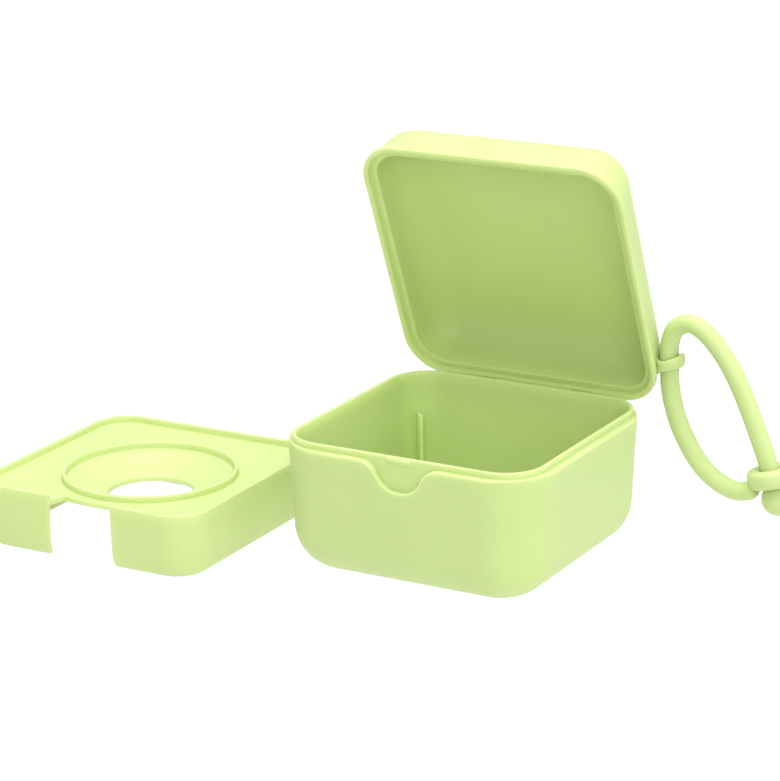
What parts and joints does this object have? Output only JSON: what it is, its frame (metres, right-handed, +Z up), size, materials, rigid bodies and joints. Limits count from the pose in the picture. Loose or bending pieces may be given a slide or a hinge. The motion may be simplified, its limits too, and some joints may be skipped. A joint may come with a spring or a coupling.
{
  "type": "pacifier sterilizer case",
  "caption": "Rounded square case with a hinged lid, a lift-out pacifier tray over a water tub, and a buttoned carrying strap.",
  "frame": {"origin": "middle of the tub's underside", "axes": "+Z up, -Y towards the side with the finger notch, +X along the front, towards the strap"},
  "size_m": [0.2073, 0.1138, 0.113],
  "materials": {
    "case_plastic": "satin moulded polypropylene",
    "strap_silicone": "matte silicone",
    "pin_plastic": "smooth acetal"
  },
  "bodies": {
    "case": {"tub": "case_plastic", "hinge_pin": "pin_plastic"},
    "lid": {"lid": "case_plastic"},
    "strap": {"strap_cord": "strap_silicone", "strap_eye": "strap_silicone", "strap_knob": "strap_silicone"},
    "tray": {"tray": "case_plastic"}
  },
  "joints": [
    {"name": "lid_hinge", "type": "hinge", "parent": "case", "child": "lid", "pos_m": [0, 0.04053, 0.03502], "axis": [1, 0, 0], "range_deg": [-43.2, 66.8]},
    {"name": "strap_swing", "type": "hinge", "parent": "lid", "child": "strap", "pos_m": [0.0418, 0.04434, 0.04818], "axis": [0, 0, -1], "range_deg": [-80, 80]},
    {"name": "tray_lift", "type": "slide", "parent": "case", "child": "tray", "axis": [0, 0, 1], "range_m": [0, 0.08]}
  ]
}
